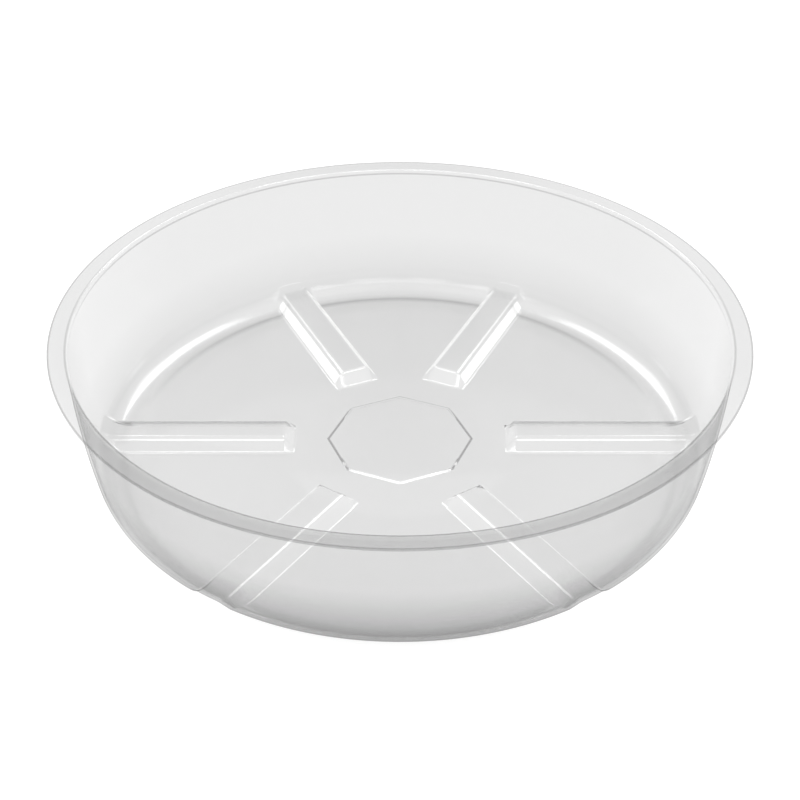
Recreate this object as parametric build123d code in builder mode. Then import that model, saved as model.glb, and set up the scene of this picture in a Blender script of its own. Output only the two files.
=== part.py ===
import os
from math import radians, sin, tan

from build123d import *

# Plant saucer: a single sheet of clear vinyl, vacuum-formed into a round bowl with a flat rim.
# Six hollow ribs stand up from the floor to hold the pot clear of the water, round an octagonal pad.
# Millimetres, +Z up. The origin is on the bowl's axis, in the plane that the floor rests on.

# Sheet
sheet = 0.8  # thickness, the same all over

# Bowl, outside of the sheet
rim_diameter = 254.0
rim_width = 6.2  # flat rim, from its outer edge in to the wall
height = 56.0  # from the table to the top of the rim
foot_round = 12.5  # curve from the floor up into the wall
foot_turn = 80.0  # degrees that the foot curve turns before the wall bows on up to the rim
wall_lean = 4.5  # how far the wall leans out between the foot curve and the rim
rim_round = 0.6  # under the rim, where it turns out of the wall

# Ribs, on the upper side of the floor
side_rib_angle = 0.0  # degrees from +X; each angle stands for a pair, mirrored left and right
rear_rib_angle = 65.0  # the rear pair stands a little closer together than the front pair
front_rib_angle = -56.0
rib_inner_end = 40.5  # from the axis to where the rib's end leaves the floor
rib_width = 18.0  # across the foot of both flanks
rib_height = 5.0  # crest above the floor
rib_flank_slope = 56.0  # degrees from the floor
rib_end_slope = 50.0
rib_crest_round = 3.2
rib_end_round = 1.6
rib_foot_round = 1.5

# Pad in the middle of the floor
pad_sides = 8
pad_radius = 28.2  # axis to a corner, at the floor
pad_height = 0.7
pad_slope = 45.0

# Construction
overrun = 2.0  # how far a cut runs past the face that it opens

rim_radius = rim_diameter / 2
mouth_radius = rim_radius - rim_width
past_rim = rim_radius + overrun
floor_radius = mouth_radius - wall_lean - foot_round * sin(radians(foot_turn))
rib_angles = [
    side_rib_angle,
    rear_rib_angle,
    180 - rear_rib_angle,
    180 - side_rib_angle,
    180 - front_rib_angle,
    front_rib_angle,
]


# Section from the axis out to the wall's top end, where the sheet turns out into the rim.
# closing_points lead on from there and back to the axis. inset is how far the section lies
# inside the outer face of the sheet.
def bowl_section(inset, closing_points):
    with BuildSketch(Plane.YZ) as section:
        with BuildLine():
            Line((0, inset), (floor_radius, inset))
            foot = CenterArc((floor_radius, foot_round), foot_round - inset, -90, foot_turn)
            wall = TangentArc(foot @ 1, (mouth_radius - inset, height - sheet + inset), tangent=foot % 1)
            Polyline(wall @ 1, *closing_points, (0, inset))
        make_face()
        fillet(vertices().sort_by_distance(wall @ 1)[0], rim_round + inset)
    return section.sketch


# Bar of one rib along +X, from its sloped inner end to beyond the wall.
# seat is the height of the face that it stands on, where width and inner_end are measured.
def rib_bar(seat, width, inner_end, crest_round, end_round):
    crest = seat + rib_height
    flank_run = rib_height / tan(radians(rib_flank_slope))
    root_run = overrun / tan(radians(rib_flank_slope))
    root_half = width / 2 + root_run
    crest_half = width / 2 - flank_run
    with BuildPart() as bar:
        with BuildSketch(Plane.YZ):
            with BuildLine():
                Polyline(
                    (-root_half, seat - overrun),
                    (root_half, seat - overrun),
                    (crest_half, crest),
                    (-crest_half, crest),
                    close=True,
                )
            make_face()
            fillet(vertices().group_by(Axis.Y)[-1], crest_round)
        extrude(amount=rim_radius)
        end_plane = Plane((inner_end, 0, seat), x_dir=(0, 1, 0)).rotated((0, -rib_end_slope, 0))
        split(bisect_by=end_plane, keep=Keep.BOTTOM)
        end_face = faces().sort_by(Axis.X)[0]
        fillet(end_face.edges().group_by(Axis.Z)[1:], end_round)
    return bar.part


# Octagonal pad standing on a face at the height seat.
def pad_block(seat, radius):
    with BuildPart() as block:
        with BuildSketch(Plane.XY.offset(seat)):
            RegularPolygon(radius, pad_sides)
        extrude(amount=pad_height, taper=90 - pad_slope)
    return block.part


# Both faces of a sloped side lie one sheet apart, so its foot underneath is drawn in by this much.
flank_inset = sheet * tan(radians(rib_flank_slope / 2))
end_inset = sheet * tan(radians(rib_end_slope / 2))
pad_inset = sheet * tan(radians(pad_slope / 2))

rib_top = rib_bar(sheet, rib_width, rib_inner_end, rib_crest_round, rib_end_round)
rib_hollow = rib_bar(
    0,
    rib_width - 2 * flank_inset,
    rib_inner_end + end_inset,
    rib_crest_round - sheet,
    rib_end_round - sheet,
)

pad_top = pad_block(sheet, pad_radius)
pad_hollow = pad_block(0, pad_radius - pad_inset)

# Space inside the sheet's outer face: the bowl with the rim's disc on top, less the hollows
# under the ribs and the pad
with BuildPart() as outer_form:
    add(bowl_section(0, [(rim_radius, height - sheet), (rim_radius, height), (0, height)]))
    revolve(axis=Axis.Z)
    for angle in rib_angles:
        add(rib_hollow.rotate(Axis.Z, angle), mode=Mode.SUBTRACT)
        fillet(edges(Select.NEW), rib_foot_round + sheet)
    add(pad_hollow, mode=Mode.SUBTRACT)

# Space inside the sheet's inner face and above the rim
with BuildPart() as inner_form:
    add(bowl_section(sheet, [(past_rim, height), (past_rim, height + overrun), (0, height + overrun)]))
    revolve(axis=Axis.Z)
    for angle in rib_angles:
        add(rib_top.rotate(Axis.Z, angle), mode=Mode.SUBTRACT)
        fillet(edges(Select.NEW), rib_foot_round)
    add(pad_top, mode=Mode.SUBTRACT)

with BuildPart() as saucer:
    add(outer_form.part)
    add(inner_form.part, mode=Mode.SUBTRACT)

saucer.part.label = "saucer"
os.makedirs("parts", exist_ok=True)
export_step(saucer.part, "parts/saucer.step")
print(f"saucer: {saucer.part.volume:.0f} cubic mm, valid {saucer.part.is_valid}")
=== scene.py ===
import math

import bmesh
import bpy
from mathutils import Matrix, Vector


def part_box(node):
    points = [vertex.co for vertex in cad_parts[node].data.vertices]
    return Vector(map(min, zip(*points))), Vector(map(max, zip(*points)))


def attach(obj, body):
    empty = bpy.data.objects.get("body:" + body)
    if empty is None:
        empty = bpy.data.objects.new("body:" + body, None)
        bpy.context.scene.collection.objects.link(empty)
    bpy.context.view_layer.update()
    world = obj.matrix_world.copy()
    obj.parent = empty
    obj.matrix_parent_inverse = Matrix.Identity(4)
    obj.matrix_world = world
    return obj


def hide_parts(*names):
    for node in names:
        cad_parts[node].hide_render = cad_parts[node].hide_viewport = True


# Clear plant saucer: one sheet of clear vinyl, vacuum-formed into a bowl with a flat rim.
# The sheet is modelled in millimetres and brought to metres at the end. Angles are degrees.

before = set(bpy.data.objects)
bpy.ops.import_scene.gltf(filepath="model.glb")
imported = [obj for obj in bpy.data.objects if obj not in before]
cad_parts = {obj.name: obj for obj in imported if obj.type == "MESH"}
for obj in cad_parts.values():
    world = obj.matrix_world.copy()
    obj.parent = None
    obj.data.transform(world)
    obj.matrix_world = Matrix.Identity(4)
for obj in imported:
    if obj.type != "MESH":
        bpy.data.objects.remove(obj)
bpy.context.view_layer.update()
metre = 0.001  # of a millimetre


# Helpers for edit mode

def clearSelection():
    if bpy.context.object and bpy.context.object.mode == "EDIT":
        bpy.ops.object.mode_set(mode="OBJECT")
    bpy.ops.object.select_all(action="DESELECT")


def makeActive(piece):
    clearSelection()
    piece.select_set(True)
    bpy.context.view_layer.objects.active = piece


def pickFaces(piece, inside):
    # a face is picked when all its corners lie inside
    bpy.ops.mesh.select_all(action="DESELECT")
    mesh = bmesh.from_edit_mesh(piece.data)
    held = {corner for corner in mesh.verts if inside(corner.co)}
    for face in mesh.faces:
        if all(corner in held for corner in face.verts):
            face.select_set(True)
    bmesh.update_edit_mesh(piece.data)


def cutFaces(piece, inside, point, normal):
    pickFaces(piece, inside)
    bpy.ops.mesh.bisect(plane_co=point, plane_no=normal)


def applyModifier(piece, kind, **settings):
    makeActive(piece)
    modifier = piece.modifiers.new(kind.title(), kind)
    for name, value in settings.items():
        setattr(modifier, name, value)
    bpy.ops.object.modifier_apply(modifier=modifier.name)


# A raised place in the sheet climbs from its foot line to its crest, rounded at both ends.
# inward is how far a point lies inside the foot line.

def slopeRun(form):
    return form["height"] / math.tan(math.radians(form["slope"]))


def roundReach(form, name):
    return form[name] * math.tan(math.radians(form["slope"] / 2))


def crestStart(form):
    return slopeRun(form) + roundReach(form, "crestRound")


def slopeSpan(form):
    return crestStart(form) + roundReach(form, "footRound")


def slopeHeight(form, inward):
    slope = math.radians(form["slope"])
    footReach = roundReach(form, "footRound")
    toCrest = crestStart(form) - inward
    if inward <= -footReach:
        return 0.0
    if toCrest <= 0:
        return form["height"]
    if inward < footReach * math.cos(slope):
        return form["footRound"] - math.sqrt(form["footRound"] ** 2 - (inward + footReach) ** 2)
    if toCrest < form["crestRound"] * math.sin(slope):
        return form["height"] - form["crestRound"] + math.sqrt(form["crestRound"] ** 2 - toCrest ** 2)
    return inward * math.tan(slope)


def slopeCuts(form):
    # the mesh gets an edge at even turns round the foot and round the crest
    turns = [math.radians(form["slope"]) * step / form["roundSteps"] for step in range(form["roundSteps"] + 1)]
    foot = [form["footRound"] * math.sin(turn) - roundReach(form, "footRound") for turn in turns]
    crest = [crestStart(form) - form["crestRound"] * math.sin(turn) for turn in reversed(turns)]
    return foot + crest


# The sheet, shaped on its upper face

sheet = {
    "thick": 0.8,
    "rimWidth": 6.2,
    "floorAcross": 208.0,
    "footRound": 12.5,  # outside of the curve from the floor up into the wall
    "footTurn": 80,
    "mouthRound": 1.0,  # where the wall's inside turns out into the rim
    "edgeRound": 0.1,
    "edgeFacets": 2,
    "edgeAngle": 60,  # edges sharper than this are rounded
    "smoothAngle": 50,  # faces that meet at less than this are shaded as one
    "normalWeight": 50,
    "roundFacets": 256,
    "footSteps": 32,
    "wallSteps": 14,
    "mouthSteps": 7,
}
ribFlank = {"height": 5.0, "slope": 56, "footRound": 1.5, "crestRound": 3.2, "roundSteps": 6}
ribEnd = {"height": 5.0, "slope": 50, "footRound": 1.5, "crestRound": 1.6, "roundSteps": 5}
ribs = {
    "angles": (0, 65, 115, 180, 236, 304),
    "fieldEdges": (32.5, 90, 147.5),  # lines that part the floor into a field for each rib
    "fieldTurn": 36,  # how far a field may reach to each side of its rib
    "innerEnd": 40.5,
    "width": 18.0,
    "cornerPower": 5,  # how squarely the inner end turns into the flanks
    "wallPower": 2.6,  # how tightly the crest turns up into the wall
    "reachUpWall": 13.0,  # height of the wall's foot that a rib can touch
    "runOut": (4.5, 12.0),  # climb of the wall's foot over which the rib runs out in it
}
padSlope = {"height": 0.7, "slope": 45, "footRound": 0.3, "crestRound": 0.3, "roundSteps": 2}
pad = {"sides": 8, "radius": 28.2}

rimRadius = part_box("saucer")[1][0] / metre
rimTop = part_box("saucer")[1][2] / metre
floorTop = sheet["thick"]
floorRadius = sheet["floorAcross"] / 2
hair = 0.0005  # slack for telling whether a corner lies in a region


def sheetProfile():
    # radius and height of the upper face, from the floor's edge up the wall and out over the rim
    footInner = sheet["footRound"] - sheet["thick"]
    footTurn = math.radians(sheet["footTurn"])
    points = []
    for step in range(1, sheet["footSteps"] + 1):
        turn = footTurn * step / sheet["footSteps"]
        points.append((
            floorRadius + footInner * math.sin(turn),
            sheet["footRound"] - footInner * math.cos(turn),
        ))
    start = Vector(points[-1])
    chord = Vector((rimRadius - sheet["rimWidth"] - sheet["thick"], rimTop)) - start
    wallRadius = chord.length / 2 / math.sin(math.atan2(chord.y, chord.x) - footTurn)
    # the wall stops where the mouth's rounding takes over, level with the rim at its end
    mouth = sheet["mouthRound"]
    climb = (rimTop - mouth - start.y) / wallRadius
    wallTurn = math.acos((math.cos(footTurn) - climb) / (1 + mouth / wallRadius))
    for step in range(1, sheet["wallSteps"] + 1):
        turn = footTurn + (wallTurn - footTurn) * step / sheet["wallSteps"]
        points.append((
            start.x + wallRadius * (math.sin(turn) - math.sin(footTurn)),
            start.y + wallRadius * (math.cos(footTurn) - math.cos(turn)),
        ))
    centre = Vector(points[-1]) + mouth * Vector((math.sin(wallTurn), -math.cos(wallTurn)))
    for step in range(1, sheet["mouthSteps"] + 1):
        turn = wallTurn * (1 - step / sheet["mouthSteps"])
        points.append((centre.x - mouth * math.sin(turn), centre.y + mouth * math.cos(turn)))
    points.append((rimRadius, rimTop))
    return points


def formBowl():
    clearSelection()
    bpy.ops.mesh.primitive_circle_add(vertices=sheet["roundFacets"], radius=floorRadius, fill_type="NOTHING")
    piece = bpy.context.object
    piece.name = "saucerSheet"
    bpy.ops.object.mode_set(mode="EDIT")
    bpy.ops.mesh.select_mode(type="EDGE")
    bpy.ops.transform.translate(value=(0, 0, floorTop))
    # the floor's edge is drawn out into ring after ring, then the floor is closed
    radius, height = floorRadius, floorTop
    for nextRadius, nextHeight in sheetProfile():
        bpy.ops.mesh.extrude_edges_move(TRANSFORM_OT_translate={"value": (0, 0, nextHeight - height)})
        share = nextRadius / radius
        bpy.ops.transform.resize(value=(share, share, 1), center_override=(0, 0, 0))
        radius, height = nextRadius, nextHeight
    bpy.ops.mesh.select_all(action="DESELECT")
    mesh = bmesh.from_edit_mesh(piece.data)
    for edge in mesh.edges:
        edge.select_set(all(abs(corner.co.z - floorTop) < hair for corner in edge.verts))
    bmesh.update_edit_mesh(piece.data)
    bpy.ops.mesh.edge_face_add()
    bpy.ops.mesh.select_all(action="SELECT")
    bpy.ops.mesh.normals_make_consistent(inside=False)
    mesh = bmesh.from_edit_mesh(piece.data)
    mesh.faces.ensure_lookup_table()
    if max(mesh.faces, key=lambda face: face.calc_area()).normal.z < 0:
        bpy.ops.mesh.flip_normals()
    bpy.ops.mesh.select_mode(type="FACE")
    return piece


def direction(angle):
    return Vector((math.cos(math.radians(angle)), math.sin(math.radians(angle)), 0))


def inField(place, angle):
    # True in the middle and in the sector round a rib
    ahead = place.dot(direction(angle))
    aside = place.dot(direction(angle + 90))
    return abs(aside) <= ahead * math.tan(math.radians(ribs["fieldTurn"])) + hair


def onFloor(place):
    return abs(place.z - floorTop) < hair


def cutForRib(piece, angle):
    ahead, aside = direction(angle), direction(angle + 90)
    half = ribs["width"] / 2
    outerSide = half + roundReach(ribFlank, "footRound")
    endStart = ribs["innerEnd"] - roundReach(ribEnd, "footRound")
    level = Vector((0, 0, floorTop))

    def outOfMiddle(place):
        return place.z < ribs["reachUpWall"] and place.dot(ahead) > endStart - hair and inField(place, angle)

    def inStrip(place):
        return outOfMiddle(place) and abs(place.dot(aside)) < outerSide + hair

    cutFaces(piece, lambda place: onFloor(place) and inField(place, angle), level + endStart * ahead, ahead)
    for side in (-1, 1):
        cutFaces(piece, outOfMiddle, level + side * outerSide * aside, aside)
    for inward in slopeCuts(ribFlank)[1:]:
        for side in (-1, 1):
            cutFaces(piece, inStrip, level + side * (half - inward) * aside, aside)
    for inward in slopeCuts(ribEnd)[1:]:
        cutFaces(piece, inStrip, level + (ribs["innerEnd"] + inward) * ahead, ahead)


def padInward(place):
    # how far a point lies inside the nearest side of the pad's foot
    apothem = pad["radius"] * math.cos(math.pi / pad["sides"])
    turns = [(side + 0.5) * 360 / pad["sides"] for side in range(pad["sides"])]
    return apothem - max(place.dot(direction(turn)) for turn in turns)


def cutForPad(piece):
    apothem = pad["radius"] * math.cos(math.pi / pad["sides"])
    middleReach = ribs["innerEnd"] - roundReach(ribEnd, "footRound")

    def inMiddle(place):
        return onFloor(place) and not any(
            inField(place, angle) and place.dot(direction(angle)) > middleReach + hair for angle in ribs["angles"]
        )

    for side in range(pad["sides"]):
        outward = direction((side + 0.5) * 360 / pad["sides"])
        for inward in slopeCuts(padSlope):
            cutFaces(piece, inMiddle, Vector((0, 0, floorTop)) + (apothem - inward) * outward, outward)


def ribHeight(place):
    # each slope is measured from its crest, 0 there and 1 where its foot meets the floor
    height = 0.0
    for angle in ribs["angles"]:
        fromEnd = place.dot(direction(angle)) - ribs["innerEnd"]
        fromSide = ribs["width"] / 2 - abs(place.dot(direction(angle + 90)))
        down = [
            max(0.0, (crestStart(form) - inward) / slopeSpan(form))
            for form, inward in ((ribFlank, fromSide), (ribEnd, fromEnd))
        ]
        parts = [share ** ribs["cornerPower"] for share in down]
        if sum(parts) == 0:
            return ribFlank["height"]
        fall = sum(parts) ** (1 / ribs["cornerPower"])
        if fall < 1:
            height = sum(
                part * slopeHeight(form, crestStart(form) - fall * slopeSpan(form))
                for form, part in zip((ribFlank, ribEnd), parts)
            ) / sum(parts)
    return height


def raiseForms(piece):
    mesh = bmesh.from_edit_mesh(piece.data)
    power = ribs["wallPower"]
    for corner in mesh.verts:
        climb = corner.co.z - floorTop
        if climb > ribs["reachUpWall"]:
            continue
        outRun = (climb - ribs["runOut"][0]) / (ribs["runOut"][1] - ribs["runOut"][0])
        outRun = min(max(outRun, 0.0), 1.0)
        rise = ribHeight(corner.co) * (1 - outRun ** 2 * (3 - 2 * outRun))
        if rise > 0:
            corner.co.z = floorTop + (max(climb, 0) ** power + rise ** power) ** (1 / power)
        elif climb < hair:
            corner.co.z = floorTop + slopeHeight(padSlope, padInward(corner.co))
    bmesh.update_edit_mesh(piece.data)


def makeSheet():
    piece = formBowl()
    print("bowl drawn, faces:", len(bmesh.from_edit_mesh(piece.data).faces))
    for edge in ribs["fieldEdges"]:
        cutFaces(piece, onFloor, (0, 0, floorTop), direction(edge + 90))
    for angle in ribs["angles"]:
        cutForRib(piece, angle)
    cutForPad(piece)
    raiseForms(piece)
    print("ribs and pad raised, faces:", len(bmesh.from_edit_mesh(piece.data).faces))
    bpy.ops.mesh.select_all(action="SELECT")
    bpy.ops.transform.resize(value=(metre, metre, metre), center_override=(0, 0, 0))
    bpy.ops.object.mode_set(mode="OBJECT")
    applyModifier(
        piece, "SOLIDIFY", thickness=sheet["thick"] * metre, offset=-1,
        use_even_offset=True, use_quality_normals=True,
    )
    applyModifier(
        piece, "BEVEL", width=sheet["edgeRound"] * metre, segments=sheet["edgeFacets"],
        limit_method="ANGLE", angle_limit=math.radians(sheet["edgeAngle"]),
    )
    makeActive(piece)
    bpy.ops.object.shade_smooth_by_angle(angle=math.radians(sheet["smoothAngle"]))
    applyModifier(piece, "WEIGHTED_NORMAL", keep_sharp=True, weight=sheet["normalWeight"])
    print("sheet given its thickness, faces:", len(piece.data.polygons))
    return piece


saucerSheet = makeSheet()
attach(saucerSheet, "root")
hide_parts("saucer")


# Materials

def linearColour(code):
    parts = [int(code[start:start + 2], 16) / 255 for start in (1, 3, 5)]
    return [part / 12.92 if part <= 0.04045 else ((part + 0.055) / 1.055) ** 2.4 for part in parts] + [1.0]


def addNode(tree, kind, links=None, **settings):
    node = tree.nodes.new(kind)
    for name, value in settings.items():
        setattr(node, name, value)
    for name, value in (links or {}).items():
        socket = node.inputs[name]
        if isinstance(value, bpy.types.NodeSocket):
            tree.links.new(value, socket)
        else:
            socket.default_value = value
    return node


def newMaterial(name):
    material = bpy.data.materials.new(name)
    material.use_nodes = True
    material.node_tree.nodes.clear()
    return material


# Vacuum-formed clear PVC, glossy on both faces. A ray goes straight through such a thin sheet, so
# the nearer face carries the tint and the mirroring of both, and the farther one is clear.
# Slant is 0 face on and 1 on edge, and tilt is the upward part of the normal. Radius is mm from the
# axis, height mm above the table, back mm back from the axis, and padReach mm from the axis, square
# to the pad's nearest side.
# Besides the sheet's tint by slant, the foot, the low wall, the crease, the pad and its sides, the cut edge and
# the folds carry painted shade, and the mirroring is cut by place on the wall and the outside.
clearVinyl = {
    "shares": {  # each is 0 at its first value and 1 at its second
        "upper": ("tilt", -0.03, 0.03),
        "lower": ("tilt", 0.03, -0.03),
        "level": ("tilt", 0.4, 0.8),  # the floor, not the wall
        "wall": ("radius", 103, 106),
        "padHollow": ("radius", 36, 33),
        "ribEnd": ("radius", 47, 45),  # the ribs' inner corners
        "pastMouth": ("radius", 121.0, 121.4),
        "atRim": ("height", 53.5, 54.3),
        "underRim": ("height", 54.3, 53.5),
        "nearFloor": ("height", 6, 4),
        "offFloor": ("height", 3, 5),
        "downWall": ("height", 26, 4),
        # the foot's painted shade grows from here towards the front
        "footShadeFront": ("back", -50, -120),
        "frontRibs": ("back", -18, -22),
        "padBack": ("back", -21, -19),
        "creaseBack": ("back", 20, 80),
        "foldBack": ("back", -30, 60),
        "foldFront": ("back", 60, -30),
        "mirrorWall": ("radius", 108.5, 110.5),
        "mirrorHigh": ("height", 2.2, 3.4),
        "footDown": ("height", 31, 5),
        "creaseAcross": ("radius", 92, 106),
        "padSideAcross": ("padReach", 24.4, 26.4),
        "rimAcross": ("radius", 119.5, 127.0),
        "lowFoldUp": ("height", 52.9, 54.9),
    },
    "joined": {  # shares that hold where all of theirs do
        "flange": ("pastMouth", "upper"),
        "frontCorner": ("ribEnd", "frontRibs", "lower"),
        "lowWallShade": ("downWall", "wall", "offFloor"),
        "crease": ("nearFloor", "upper", "creaseBack"),
        "rimTop": ("atRim", "upper"),
        "rimFoldShade": ("atRim", "upper", "foldFront"),
        "lowFoldShade": ("foldBack", "upper"),
        "highWall": ("mirrorWall", "mirrorHigh", "underRim"),
        "outside": ("wall", "lower"),
    },
    "footShadeSides": 0.35,  # share of the foot's painted shade that the sides and the back have
    "tintsAndShade": {  # what each runs along, and its colours: the sheet's tint by slant, and painted shade laid on by place
        "floor": ("slant", {0.0: "#dadada", 0.3: "#dadada", 0.36: "#d6d6d6", 0.46: "#d3d3d3", 0.6: "#d6d6d6",
                            0.8: "#ffffff"}),
        "inside": ("slant", {0.0: "#dadada", 0.3: "#dbdbdb", 0.45: "#dedede", 0.7: "#e2e2e2", 1.0: "#d8d8d8"}),
        # painted shade: the inside of the wall darker towards its foot
        "lowWallShade": ("slant", {0.0: "#f4f4f4", 1.0: "#f4f4f4"}),
        "outside": ("slant", {0.0: "#f9f9f9", 0.5: "#f9f9f9", 0.8: "#f0f0f0", 0.93: "#cecece", 1.0: "#909090"}),
        "hollow": ("slant", {0.0: "#fafafa", 0.7: "#f8f8f8", 1.0: "#e0e0e0"}),  # under the ribs and the floor
        # painted shade: under the pad, its sides seen aslant darken to thin dark lines
        "pad": ("slant", {0.0: "#fafafa", 0.6: "#f6f6f6", 0.84: "#8c8c8c", 1.0: "#8c8c8c"}),
        "flange": ("slant", {0.0: "#f4f4f4", 0.3: "#f0f0f0", 0.45: "#d6d6d6", 1.0: "#cecece"}),
        "clear": ("slant", {0.0: "#ffffff", 1.0: "#ffffff"}),
        # painted shade: the outside of the wall darker towards the table
        "foot": ("footDown", {0.0: "#ffffff", 0.2: "#f6f6f6", 0.45: "#e6e6e6", 0.72: "#cecece", 0.9: "#b6b6b6",
                              1.0: "#a8a8a8"}),
        "padSideShade": ("padSideAcross", {0.0: "#ffffff", 0.3: "#ffffff", 0.5: "#bcbcbc", 0.75: "#bcbcbc",
                                      0.95: "#ffffff", 1.0: "#ffffff"}),  # painted shade: the pad's sides as thin dark lines, left off its front sides
        # painted shade: a dark ring where the floor turns up into the wall, at the back only
        "crease": ("creaseAcross", {0.0: "#ffffff", 0.6: "#f8f8f8", 0.8: "#dadada", 0.92: "#ffffff"}),
        # painted shade: the top face darker towards the rim's cut edge
        "cutEdgeShade": ("rimAcross", {0.0: "#ffffff", 0.9: "#ffffff", 0.94: "#dcdcdc", 0.98: "#d2d2d2",
                                  1.0: "#c4c4c4"}),
        # painted shade: a dark line along the fold at the mouth, strongest at the front
        "rimFoldShade": ("rimAcross", {0.0: "#ffffff", 0.09: "#ffffff", 0.13: "#e2e2e2", 0.2: "#e2e2e2",
                                  0.24: "#ffffff"}),
        "lowFoldShade": ("lowFoldUp", {0.0: "#ffffff", 0.25: "#ffffff", 0.45: "#dcdcdc", 0.6: "#dcdcdc",
                                  0.8: "#ffffff"}),  # painted shade: a dark line for the fold, which at the back lies down on the wall
    },
    "layers": (  # the tint and painted shade that result, the two that make it, the share that the second has, and how
        ("hollow", "hollow", "pad", "padHollow", "MIX"),
        ("outside", "outside", "foot", "footShadeShare", "MULTIPLY"),
        ("under", "hollow", "outside", "wall", "MIX"),
        ("under", "under", "clear", "frontCorner", "MIX"),
        ("under", "under", "clear", "atRim", "MIX"),
        ("over", "inside", "floor", "level", "MIX"),
        ("over", "over", "lowWallShade", "lowWallShade", "MULTIPLY"),
        ("over", "over", "padSideShade", "padBack", "MULTIPLY"),
        ("sheet", "under", "over", "upper", "MIX"),
        ("sheet", "sheet", "flange", "flange", "MIX"),
        ("sheet", "sheet", "crease", "crease", "MULTIPLY"),
        ("sheet", "sheet", "cutEdgeShade", "rimTop", "MULTIPLY"),
        ("sheet", "sheet", "rimFoldShade", "rimFoldShade", "MULTIPLY"),
        ("sheet", "sheet", "lowFoldShade", "lowFoldShade", "MULTIPLY"),
        ("sheet", "sheet", "clear", "farther", "MIX"),
    ),
    "ior": 1.54,
    "bothFaces": 1.7,  # the mirroring of both faces, against that of one
    "mirrorLeft": {  # share of it that is left there
        "highWall": 0.25,  # painted: reflection cut by place above the foot, so the highlights on the foot end sharply and none show higher up
        "outside": 0.1,  # painted shade: the outside's mirroring cut to a tenth, as if it faced only the dark gap over the table
        "frontCorner": 0.0,
        "farther": 0.0,
    },
    "roughness": 0.15,
    "waveLength": 24.0,  # mm between the slow swells that forming leaves
    "waveDepth": 0.02,  # mm
    "waveDetail": 1.0,
}


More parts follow.
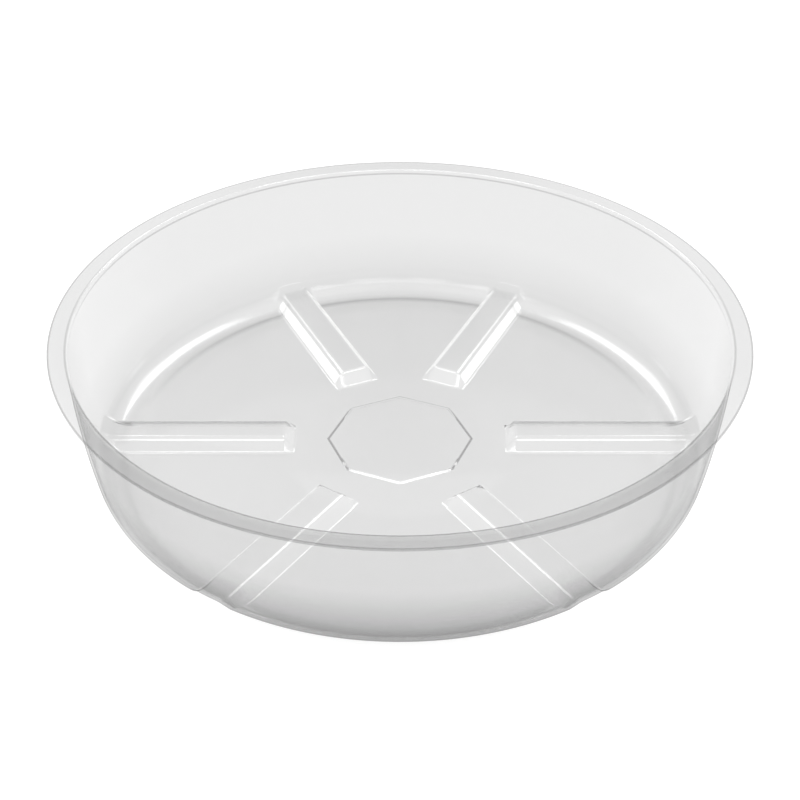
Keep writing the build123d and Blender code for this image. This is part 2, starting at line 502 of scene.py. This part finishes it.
def makeClearVinyl():
    look = clearVinyl
    material = newMaterial("vacuum-formed clear PVC")
    tree = material.node_tree

    place = addNode(tree, "ShaderNodeTexCoord").outputs["Object"]
    inMm = addNode(tree, "ShaderNodeVectorMath", {0: place, 1: [1 / metre] * 3}, operation="MULTIPLY").outputs[0]
    split = addNode(tree, "ShaderNodeSeparateXYZ", {"Vector": inMm})
    flat = addNode(tree, "ShaderNodeVectorMath", {0: inMm, 1: (1, 1, 0)}, operation="MULTIPLY").outputs[0]
    face = addNode(tree, "ShaderNodeNewGeometry")
    folded = addNode(tree, "ShaderNodeVectorMath", {0: flat}, operation="ABSOLUTE").outputs[0]
    turn = math.pi / pad["sides"]
    reaches = [
        addNode(tree, "ShaderNodeVectorMath", {0: folded, 1: outward}, operation="DOT_PRODUCT").outputs["Value"]
        for outward in ((math.cos(turn), math.sin(turn), 0), (math.sin(turn), math.cos(turn), 0))
    ]
    farthest = addNode(tree, "ShaderNodeMath", {0: reaches[0], 1: reaches[1]}, operation="MAXIMUM")
    sources = {
        "height": split.outputs["Z"],
        "back": split.outputs["Y"],
        "radius": addNode(tree, "ShaderNodeVectorMath", {0: flat}, operation="LENGTH").outputs["Value"],
        "padReach": farthest.outputs[0],
        "tilt": addNode(tree, "ShaderNodeSeparateXYZ", {"Vector": face.outputs["Normal"]}).outputs["Z"],
        "slant": addNode(tree, "ShaderNodeLayerWeight", {"Blend": 0.5}).outputs["Facing"],
    }

    shares = {"farther": face.outputs["Backfacing"]}
    for name, (source, first, last) in look["shares"].items():
        shares[name] = addNode(tree, "ShaderNodeMapRange", {
            "Value": sources[source], "From Min": first, "From Max": last,
        }).outputs["Result"]
    for name, parts in look["joined"].items():
        shares[name] = shares[parts[0]]
        for part in parts[1:]:
            shares[name] = addNode(
                tree, "ShaderNodeMath", {0: shares[name], 1: shares[part]}, operation="MULTIPLY",
            ).outputs[0]
    shares["footShadeShare"] = addNode(tree, "ShaderNodeMapRange", {
        "Value": shares["footShadeFront"], "To Min": look["footShadeSides"], "To Max": 1.0,
    }).outputs["Result"]

    tintsAndShade = {}
    for name, (along, stops) in look["tintsAndShade"].items():
        value = shares[along] if along in shares else sources[along]
        ramp = addNode(tree, "ShaderNodeValToRGB", {"Fac": value})
        marks = sorted(stops)
        ramp.color_ramp.elements[0].color = linearColour(stops[marks[0]])
        ramp.color_ramp.elements[1].position = marks[-1]
        ramp.color_ramp.elements[1].color = linearColour(stops[marks[-1]])
        for mark in marks[1:-1]:
            ramp.color_ramp.elements.new(mark).color = linearColour(stops[mark])
        tintsAndShade[name] = ramp.outputs["Color"]
    for name, first, second, share, blend in look["layers"]:
        tintsAndShade[name] = addNode(tree, "ShaderNodeMix", {
            "Factor": shares[share], 6: tintsAndShade[first], 7: tintsAndShade[second],
        }, data_type="RGBA", blend_type=blend).outputs[2]

    amount = addNode(tree, "ShaderNodeFresnel", {"IOR": look["ior"]}).outputs[0]
    for share, left in look["mirrorLeft"].items():
        dim = addNode(tree, "ShaderNodeMapRange", {"Value": shares[share], "To Min": 1.0, "To Max": left})
        amount = addNode(
            tree, "ShaderNodeMath", {0: amount, 1: dim.outputs["Result"]}, operation="MULTIPLY",
        ).outputs[0]
    amount = addNode(
        tree, "ShaderNodeMath", {0: amount, 1: look["bothFaces"]}, operation="MULTIPLY", use_clamp=True,
    ).outputs[0]

    wave = addNode(tree, "ShaderNodeTexNoise", {
        "Vector": place, "Scale": 1 / (look["waveLength"] * metre), "Detail": look["waveDetail"],
    })
    swell = addNode(tree, "ShaderNodeBump", {
        "Height": wave.outputs["Fac"], "Strength": 1.0, "Distance": look["waveDepth"] * metre,
    })
    through = addNode(tree, "ShaderNodeBsdfTransparent", {"Color": tintsAndShade["sheet"]})
    mirror = addNode(tree, "ShaderNodeBsdfAnisotropic", {
        "Color": (1, 1, 1, 1), "Roughness": look["roughness"], "Normal": swell.outputs["Normal"],
    })
    surface = addNode(tree, "ShaderNodeMixShader", {0: amount, 1: through.outputs[0], 2: mirror.outputs[0]})
    addNode(tree, "ShaderNodeOutputMaterial", {"Surface": surface.outputs[0]})
    return material


saucerSheet.data.materials.clear()
saucerSheet.data.materials.append(makeClearVinyl())


# The table and the studio round it

studio = {
    "tableWidth": 6.0,  # metres, as all lengths of the studio
    "tableDrop": 0.0002,  # below the sheet, so that the two faces don't lie in one plane
    "tableColour": "#898989",
    "tableGlow": 0.80,  # added where the eye, or a mirror, meets the table
    "skyLight": 0.72,
    "skyFade": (0.25, 0.6),  # upward part of a direction, over which the mirrored sky dims
    "horizon": 0.9,
    "overhead": 0.5,
    "asideSpan": (0.02, 0.16),  # sideways part of a direction, over which the sky brightens
    "asideGlow": 0.4,
    "aimHeight": 0.02,
}
softboxes = [
    {"azimuth": 52, "elevation": 48, "distance": 3, "width": 1.2, "tall": 1.5, "power": 22},
    {"azimuth": 128, "elevation": 48, "distance": 3, "width": 1.2, "tall": 1.5, "power": 22},
    {"azimuth": 26, "elevation": 6, "distance": 3, "width": 0.5, "tall": 0.5, "power": 4},
    {"azimuth": 154, "elevation": 6, "distance": 3, "width": 0.5, "tall": 0.5, "power": 4},
    {"azimuth": -40, "elevation": 54, "distance": 3, "width": 1.0, "tall": 1.0, "power": 18},
    {"azimuth": -140, "elevation": 54, "distance": 3, "width": 1.0, "tall": 1.0, "power": 18},
    {"azimuth": -77, "elevation": 54, "distance": 3, "width": 0.74, "tall": 1.2, "power": 12},
    {"azimuth": -103, "elevation": 54, "distance": 3, "width": 0.74, "tall": 1.2, "power": 12},
]


def seenDirectly(tree):
    # 1 for a ray from the camera, or one that was mirrored or let through
    path = addNode(tree, "ShaderNodeLightPath").outputs
    seen = path["Is Camera Ray"]
    for name in ("Is Glossy Ray", "Is Transmission Ray"):
        seen = addNode(tree, "ShaderNodeMath", {0: seen, 1: path[name]}, operation="MAXIMUM").outputs[0]
    return seen


def makeTable():
    clearSelection()
    bpy.ops.mesh.primitive_plane_add(size=studio["tableWidth"])
    table = bpy.context.object
    table.name = "table"
    bpy.ops.object.mode_set(mode="EDIT")
    bpy.ops.transform.translate(value=(0, 0, -studio["tableDrop"]))
    bpy.ops.object.mode_set(mode="OBJECT")
    material = newMaterial("matt white acrylic table")
    tree = material.node_tree
    matt = addNode(tree, "ShaderNodeBsdfDiffuse", {"Color": linearColour(studio["tableColour"])})
    level = addNode(
        tree, "ShaderNodeMath", {0: seenDirectly(tree), 1: studio["tableGlow"]}, operation="MULTIPLY",
    ).outputs[0]
    glow = addNode(tree, "ShaderNodeEmission", {"Color": (1, 1, 1, 1), "Strength": level})
    both = addNode(tree, "ShaderNodeAddShader", {0: matt.outputs[0], 1: glow.outputs[0]})
    addNode(tree, "ShaderNodeOutputMaterial", {"Surface": both.outputs[0]})
    table.data.materials.append(material)


def makeSky():
    world = bpy.data.worlds.new("studio")
    bpy.context.scene.world = world
    world.use_nodes = True
    tree = world.node_tree
    tree.nodes.clear()
    way = addNode(tree, "ShaderNodeTexCoord").outputs["Generated"]
    split = addNode(tree, "ShaderNodeSeparateXYZ", {"Vector": way})
    fade = addNode(tree, "ShaderNodeMapRange", {
        "Value": split.outputs["Z"], "From Min": studio["skyFade"][0], "From Max": studio["skyFade"][1],
        "To Min": studio["horizon"], "To Max": studio["overhead"],
    })
    aside = addNode(tree, "ShaderNodeMath", {0: split.outputs["X"]}, operation="ABSOLUTE").outputs[0]
    glow = addNode(tree, "ShaderNodeMapRange", {
        "Value": aside, "From Min": studio["asideSpan"][0], "From Max": studio["asideSpan"][1],
        "To Max": studio["asideGlow"],
    })
    bright = addNode(
        tree, "ShaderNodeMath", {0: fade.outputs["Result"], 1: glow.outputs["Result"]}, operation="ADD",
    ).outputs[0]
    level = addNode(tree, "ShaderNodeMix", {
        "Factor": seenDirectly(tree), "A": studio["skyLight"], "B": bright,
    }, data_type="FLOAT")
    light = addNode(tree, "ShaderNodeBackground", {"Color": (1, 1, 1, 1), "Strength": level.outputs["Result"]})
    addNode(tree, "ShaderNodeOutputWorld", {"Surface": light.outputs[0]})


def makeSoftbox(number, box):
    aim = Vector((0, 0, studio["aimHeight"]))
    elevation = math.radians(box["elevation"])
    out = direction(box["azimuth"]) * math.cos(elevation) + Vector((0, 0, math.sin(elevation)))
    lamp = bpy.data.lights.new(f"softbox{number}", "AREA")
    lamp.shape = "RECTANGLE"
    lamp.size, lamp.size_y = box["width"], box["tall"]
    lamp.energy = box["power"]
    holder = bpy.data.objects.new(f"softbox{number}", lamp)
    bpy.context.collection.objects.link(holder)
    holder.location = aim + out * box["distance"]
    holder.rotation_euler = out.to_track_quat("Z", "Y").to_euler()
    holder.visible_camera = False


view = {"elevation": 35.66, "distance": 0.5588, "aimHeight": 0.0193, "lens": 66.06, "sensor": 36}


def makeCamera():
    elevation = math.radians(view["elevation"])
    out = Vector((0, -math.cos(elevation), math.sin(elevation)))
    camera = bpy.data.cameras.new("camera")
    camera.lens = view["lens"]
    camera.sensor_width = view["sensor"]
    holder = bpy.data.objects.new("camera", camera)
    bpy.context.collection.objects.link(holder)
    holder.location = Vector((0, 0, view["aimHeight"])) + out * view["distance"]
    holder.rotation_euler = out.to_track_quat("Z", "Y").to_euler()
    bpy.context.scene.camera = holder


makeTable()
makeSky()
for number, box in enumerate(softboxes, start=1):
    makeSoftbox(number, box)
makeCamera()
bpy.context.scene.view_settings.view_transform = "Standard"
print("table, lights and camera in place")
